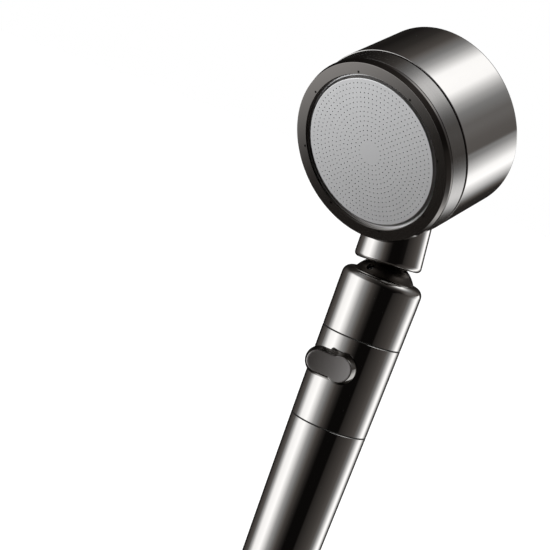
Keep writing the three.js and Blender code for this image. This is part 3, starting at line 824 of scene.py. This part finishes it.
def front_bezel():
    """The dark ring round the spray plate, with a steep bevel and a circle of small dots."""
    skirt_bore = BEZEL_SKIRT - BEZEL_SKIRT_WALL
    corners = [
        (BEZEL_BORE, 0.35),
        (BEZEL_BORE + 0.35, 0),
        (BEZEL_RADIUS - BEZEL_BEVEL["width"], 0, 0.2),
        (BEZEL_RADIUS, BEZEL_BEVEL["length"], 0.35),
        (BEZEL_RADIUS, BEZEL_BACK, 0.1),
        (BEZEL_SKIRT, BEZEL_BACK),
        (BEZEL_SKIRT, BEZEL_SKIRT_END),
        (skirt_bore, BEZEL_SKIRT_END),
        (skirt_bore, PLATE_SEAT["back"]),
        (PLATE_SEAT["radius"], PLATE_SEAT["back"]),
        (PLATE_SEAT["radius"], PLATE_SEAT["front"]),
        (BEZEL_BORE, PLATE_SEAT["front"]),
    ]
    obj = lathe("dark_bezel_ring", rounded(corners, 4, 0.08), FACE, DRUM_SIDES)
    dots = []
    for i in range(DOTS["count"]):
        a = DOTS["turn"] + 2 * math.pi * i / DOTS["count"]
        matrix = FACE @ shift(DOTS["circle"] * math.cos(a), DOTS["circle"] * math.sin(a), 0)
        dots.append(rod(DOTS["radius"], -1, DOTS["depth"], matrix, 16))
    return carve(obj, *dots)


# ---------------------------------------------------------------- spray plate

PLATE_SIDES = 128
PLATE_FIELD = 31.0  # radius of the flat part with the holes
PLATE_FRONT = 0.6
PLATE_BACK = 1.4
PLATE_RIM = {"radius": 34.3, "front": 1.95, "back": 2.75}
HOLE_RADIUS = 0.24
HOLE_CORNERS = 8
HOLE_RINGS = 13
HOLE_PITCH = 2
FIRST_HOLE_RING = 5.6


def circle_points(x, y, radius, count):
    angles = [2 * math.pi * i / count for i in range(count)]
    return [Vector((x + radius * math.cos(a), y + radius * math.sin(a))) for a in angles]


def hole_places():
    """Rings of holes one pitch apart, about as close round each ring."""
    places = []
    for ring in range(HOLE_RINGS):
        radius = FIRST_HOLE_RING + HOLE_PITCH * ring
        count = round(math.pi * radius)
        for i in range(count):
            a = 2 * math.pi * (i + 0.5 * (ring % 2)) / count
            places.append((radius * math.cos(a), radius * math.sin(a)))
    return places


def perforated_field():
    """The flat part of the plate: its front, its back and the walls of its holes."""
    flat = circle_points(0, 0, PLATE_FIELD, PLATE_SIDES)
    loops = [list(range(PLATE_SIDES))]
    for x, y in hole_places():
        loops.append(list(range(len(flat), len(flat) + HOLE_CORNERS)))
        flat += circle_points(x, y, HOLE_RADIUS, HOLE_CORNERS)
    edges = [(loop[k - 1], loop[k]) for loop in loops for k in range(len(loop))]
    points, _, triangles, origin, *_ = delaunay_2d_cdt(flat, edges, [], 0, TINY)
    owner = {v: i for i, loop in enumerate(loops) for v in loop}
    count = len(points)

    def loop_of(v):
        return owner.get(origin[v][0], -1) if origin[v] else -1

    verts = [(p.x * MM, p.y * MM, level * MM) for level in (PLATE_FRONT, PLATE_BACK) for p in points]
    faces = []
    for triangle in triangles:
        found = {loop_of(v) for v in triangle}
        inside_a_hole = len(found) == 1 and found != {0}
        if not inside_a_hole:
            faces.append(tuple(triangle))
            faces.append(tuple(v + count for v in reversed(triangle)))
    here = {origin[i][0]: i for i in range(count) if origin[i]}
    for loop in loops[1:]:
        for k, v in enumerate(loop):
            a, b = here[loop[k - 1]], here[v]
            faces.append((a, b, b + count, a + count))
    return verts, faces


def plate_rim(start):
    """The plate's dished rim, as rows of points numbered from start."""
    corners = [
        (PLATE_FIELD, PLATE_FRONT),
        (31.5, PLATE_FRONT, 0.4),
        (32.5, PLATE_RIM["front"], 0.3),
        (PLATE_RIM["radius"], PLATE_RIM["front"]),
        (PLATE_RIM["radius"], PLATE_RIM["back"]),
        (32.1, PLATE_RIM["back"]),
        (31.1, PLATE_BACK),
        (PLATE_FIELD, PLATE_BACK),
    ]
    outline = rounded(corners, 4, 0.02)
    verts, faces = [], []
    for r, z in outline:
        verts += [(p.x * MM, p.y * MM, z * MM) for p in circle_points(0, 0, r, PLATE_SIDES)]
    for row in range(len(outline) - 1):
        a, b = start + row * PLATE_SIDES, start + (row + 1) * PLATE_SIDES
        for i in range(PLATE_SIDES):
            n = (i + 1) % PLATE_SIDES
            faces.append((a + i, a + n, b + n, b + i))
    return verts, faces


def spray_plate():
    """A pressed steel disc with several hundred fine holes."""
    verts, faces = perforated_field()
    rim_verts, rim_faces = plate_rim(len(verts))
    mesh = bpy.data.meshes.new("plate")
    mesh.from_pydata(verts + rim_verts, [], faces + rim_faces)
    finish_mesh(mesh)
    return new_object("fine_hole_plate", mesh, FACE)


# ---------------------------------------------------------------- the object


def build():
    finish_cad_nodes()
    metal = FINISH["polished_gunmetal"]
    gap = SEAM_HALF
    opening = rod(COLLAR_OPENING, 14, 19, VALVE, MEDIUM)
    piece(hose_connector(), "handle", "polished_gunmetal", metal, "hose_connector")
    grip = sleeve("grip_shell", HANDLE_BOTTOM + gap, LOWER_SEAM - gap, 12)
    piece(grip, "handle", "polished_gunmetal", metal, "grip_sleeve")
    middle = sleeve("valve_shell", LOWER_SEAM + gap, UPPER_SEAM - gap, 6, opening)
    piece(middle, "handle", "polished_gunmetal", metal, "valve_sleeve")
    piece(upper_sleeve(), "handle", "polished_gunmetal", metal, "upper_sleeve")
    piece(bonnet_nut(), "handle", "polished_gunmetal", metal, "bonnet_nut")
    for name in ("lower_seam_ring", "upper_seam_ring"):
        z = (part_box(name)[0].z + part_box(name)[1].z) / 2 / MM
        piece(seam_ring(name + "_fine", z), "handle", "rubber", FINISH["rubber"], name)
    piece(stop_lever(), "lever", "lever_satin", FINISH["lever_satin"], "stop_lever")
    piece(swivel_ball(), "ball", "ball_black", FINISH["ball_black"], "swivel_ball")
    piece(lock_screw(), "ball", "stainless", FINISH["stainless"], "ball_lock_screw")
    piece(neck_socket(), "head", "polished_gunmetal", metal, "neck_socket")
    piece(head_cup(), "head", "polished_gunmetal", metal, "head_cup")
    piece(face_ring(), "head", "satin_gunmetal", FINISH["satin_gunmetal"], "face_ring")
    piece(front_bezel(), "head", "dark_bezel", FINISH["dark_bezel"], "front_bezel")
    piece(spray_plate(), "head", "stainless", FINISH["stainless"], "spray_plate")


# ---------------------------------------------------------------- studio

WARM = (1.0, 0.9, 0.83)  # tint of the studio's dim parts

# Light that a polished upright cylinder sees round it: (degrees from -Y towards +X, brightness).
STUDIO_ROUND = [
    (-180, 0.3),
    (-176, 0.12),
    (-171, 0.03),
    (-150, 0.01),
    (-120, 0.012),
    (-107, 0.066),
    (-95, 0.1),
    (-83, 0.16),
    (-71, 0.6),
    (-59, 1.5),
    (-36, 1.75),
    (-23, 1.12),
    (-11, 0.5),
    (2, 0.23),
    (14, 0.085),
    (26, 0.027),
    (36, 0.002),
    (68, 0.002),
    (71, 0.024),
    (87, 0.05),
    (105, 0.08),
    (121, 0.13),
    (133, 0.3),
    (145, 0.95),
    (154, 1.6),
    (163, 1.7),
    (172, 0.95),
    (180, 0.3),
]
# Overhead light: (degrees from its centre, brightness).
STUDIO_TOP = [
    (0, 1.7),
    (9, 1.65),
    (15, 1.0),
    (20, 0.58),
    (26, 0.3),
    (36, 0.1),
    (48, 0.035),
    (62, 0.01),
    (80, 0.0),
]
TOP_CENTRE = (150, 67)  # azimuth and elevation

# Where each light fades, as (dark or unlit, lit) in degrees of elevation.
STRIPS_BOTTOM = (-47.6, -42.4)
RIGHT_STRIP_TOP = (13.0, 10.0)
LEFT_STRIP_TOP = (27.0, 9.0)
LEFT_HAZE_TOP = (72.0, 30.0)
BACK_PANEL_BOTTOM = (11.0, 13.0)
BACK_PANEL_TOP = (45.0, 25.0)
FLOOR_GLOW_TOP = (-43.5, -49.0)
# Where each begins or ends round the object, in radians of azimuth.
LEFT_SIDE = (0.75, 0.65)
SWINGING_SIDE = (0.9, 1.1)
BACK_PANEL_REACH = (0.9, 0.4)

LEFT_STRIP_SHARE = 0.8
BACK_PANEL_CENTRE = math.radians(145)
BACK_PANEL_LIGHT = 0.12
FLOOR_GLOW_LIGHT = 0.06
LEAST_LIGHT = 0.003
STRIP_SWING = 0.016  # how far the right strip leans, in radians round per degree up
SWING_START = -8.0
SWING_SPAN = 16.0


def curve(tree, factor, stops):
    """A curve through stops of (place, value); a colour ramp holds 32 stops and values to 1."""
    peak = max(value for _, value in stops)
    ramp = tree.ramp(factor, [(place, value / peak) for place, value in stops])
    return tree.math("MULTIPLY", ramp, peak)


def strip_light(tree, azimuth, elevation):
    """Strips and cards that stand round the object and end at their own heights."""
    above_start = tree.math("MAXIMUM", tree.math("SUBTRACT", elevation, SWING_START), 0.0)
    lifted = tree.math("MINIMUM", above_start, SWING_SPAN)
    lean = tree.math("MULTIPLY", tree.step(azimuth, *SWINGING_SIDE), STRIP_SWING)
    leaned = tree.math("SUBTRACT", azimuth, tree.math("MULTIPLY", lifted, lean))
    place = tree.math("ADD", tree.math("MULTIPLY", leaned, 0.5 / math.pi), 0.5)
    light = curve(tree, place, [((a + 180) / 360, v) for a, v in STUDIO_ROUND])
    strip_top = tree.math("MULTIPLY", tree.step(elevation, *LEFT_STRIP_TOP), LEFT_STRIP_SHARE)
    haze_top = tree.math("MULTIPLY", tree.step(elevation, *LEFT_HAZE_TOP), 1 - LEFT_STRIP_SHARE)
    left_top = tree.math("ADD", strip_top, haze_top)
    right_top = tree.step(elevation, *RIGHT_STRIP_TOP)
    on_left = tree.step(azimuth, *LEFT_SIDE)
    top = tree.add("ShaderNodeMix", {"Factor": on_left, 2: right_top, 3: left_top}).outputs[0]
    bottom = tree.step(elevation, *STRIPS_BOTTOM)
    return tree.math("MULTIPLY", light, tree.math("MULTIPLY", bottom, top))


def overhead_light(tree, direction):
    """One broad soft light high up behind the object."""
    a, e = (math.radians(v) for v in TOP_CENTRE)
    centre = (math.sin(a) * math.cos(e), -math.cos(a) * math.cos(e), math.sin(e))
    dot = tree.add("ShaderNodeVectorMath", {0: direction, 1: centre}, operation="DOT_PRODUCT")
    away = tree.math("ARCCOSINE", dot.outputs["Value"])
    place = tree.math("MULTIPLY", away, 1 / math.pi)
    return curve(tree, place, [(d / 180, v) for d, v in STUDIO_TOP])


def faint_light(tree, azimuth, elevation):
    """A dim panel behind the object and a dim glow from the floor."""
    off_centre = tree.math("ABSOLUTE", tree.math("SUBTRACT", azimuth, BACK_PANEL_CENTRE))
    behind = tree.step(off_centre, *BACK_PANEL_REACH)
    bottom, top = tree.step(elevation, *BACK_PANEL_BOTTOM), tree.step(elevation, *BACK_PANEL_TOP)
    panel = tree.math("MULTIPLY", behind, tree.math("MULTIPLY", bottom, top))
    glow = tree.math("MULTIPLY", tree.step(elevation, *FLOOR_GLOW_TOP), FLOOR_GLOW_LIGHT)
    return tree.math("ADD", tree.math("MULTIPLY", panel, BACK_PANEL_LIGHT), glow)


def studio_world():
    """Mirror reflections see a studio of strips and cards; the floor and the view see white."""
    world = bpy.data.worlds.new("studio")
    bpy.context.scene.world = world
    world.use_nodes = True
    tree = Tree(world.node_tree)
    direction = tree.add("ShaderNodeTexCoord").outputs["Generated"]
    x, y, z = tree.add("ShaderNodeSeparateXYZ", {0: direction}).outputs
    azimuth = tree.math("ARCTAN2", x, tree.math("MULTIPLY", y, -1.0))
    elevation = tree.math("MULTIPLY", tree.math("ARCSINE", z), 180 / math.pi)
    strips = strip_light(tree, azimuth, elevation)
    main = tree.math("ADD", strips, overhead_light(tree, direction))
    total = tree.math("ADD", main, faint_light(tree, azimuth, elevation))
    tint = tree.mix(tree.step(total, 0.06, 0.3), (*WARM, 1), (1, 1, 1, 1))
    strength = tree.math("ADD", total, LEAST_LIGHT)
    studio = tree.add("ShaderNodeBackground", {"Color": tint, "Strength": strength})
    white = tree.add("ShaderNodeBackground", {"Color": (1, 1, 1, 1), "Strength": 1.0})
    glossy = tree.add("ShaderNodeLightPath").outputs["Is Glossy Ray"]
    mixed = tree.add("ShaderNodeMixShader", {0: glossy, 1: white.outputs[0], 2: studio.outputs[0]})
    tree.add("ShaderNodeOutputWorld", {"Surface": mixed.outputs[0]})
    world.cycles.sampling_method = "NONE"


FLOOR_HALF = 8  # metres
FLOOR_DROP = 0.3
FLOOR_COLOUR = (0.9, 0.9, 0.9)
FLOOR_GLOW = 0.22

KEY_PLACE = (0.7, -0.5, 1.0)
KEY_TARGET = (0, 0, 0.15)
KEY_SIZE = 0.9
KEY_POWER = 6

CAMERA_LENS = 103.39
CAMERA_SENSOR = 36
CAMERA_FROM_BALL = (0.3774, -0.5606, 0.06146)
CAMERA_HEADING = math.radians(37.699)
CAMERA_LIFT = math.radians(5.949)
CAMERA_ROLL = math.radians(20.355)


def studio_floor():
    """A pale floor under the upright object, lit by the white surround."""
    mesh = bpy.data.meshes.new("floor")
    signs = ((-1, -1), (1, -1), (1, 1), (-1, 1))
    corners = [(x * FLOOR_HALF, y * FLOOR_HALF, 0) for x, y in signs]
    mesh.from_pydata(corners, [], [(0, 1, 2, 3)])
    floor = new_object("floor", mesh, shift(0, 0, cad_box[0].z / MM - FLOOR_DROP))
    mat, tree, shader = principled("floor_paper", FLOOR_COLOUR, 0.0)
    grain = tree.noise(tree.object_place(), 800.0, 2.0)
    shaded(tree, shader, FLOOR_COLOUR, grain, 0.02, 0.7, 0.9, grain)
    shader.inputs["Emission Color"].default_value = (1, 1, 1, 1)
    shader.inputs["Emission Strength"].default_value = FLOOR_GLOW
    mesh.materials.append(mat)
    floor.visible_glossy = False


def key_light():
    """A soft square light from the upper right of the front."""
    light = bpy.data.lights.new("key", "AREA")
    light.shape = "RECTANGLE"
    light.size = light.size_y = KEY_SIZE
    light.energy = KEY_POWER
    lamp = bpy.data.objects.new("key", light)
    bpy.context.scene.collection.objects.link(lamp)
    lamp.location = KEY_PLACE
    away = Vector(KEY_PLACE) - Vector(KEY_TARGET)
    lamp.rotation_euler = away.to_track_quat("Z", "Y").to_euler()
    lamp.visible_glossy = False


def camera():
    """The viewpoint: right of the front, a little above, and rolled."""
    data = bpy.data.cameras.new("camera")
    data.lens = CAMERA_LENS
    data.sensor_width = CAMERA_SENSOR
    data.clip_start = 0.05
    cam = bpy.data.objects.new("camera", data)
    bpy.context.scene.collection.objects.link(cam)
    place = Vector(CAMERA_FROM_BALL) + Vector(JOINTS["head_tilt"]["pos_m"])
    aim = turn("Z", CAMERA_HEADING) @ turn("X", math.pi / 2 - CAMERA_LIFT)
    cam.matrix_world = Matrix.Translation(place) @ aim @ turn("Z", CAMERA_ROLL)
    bpy.context.scene.camera = cam


build()
studio_world()
studio_floor()
key_light()
camera()
bpy.context.scene.view_settings.view_transform = "Standard"
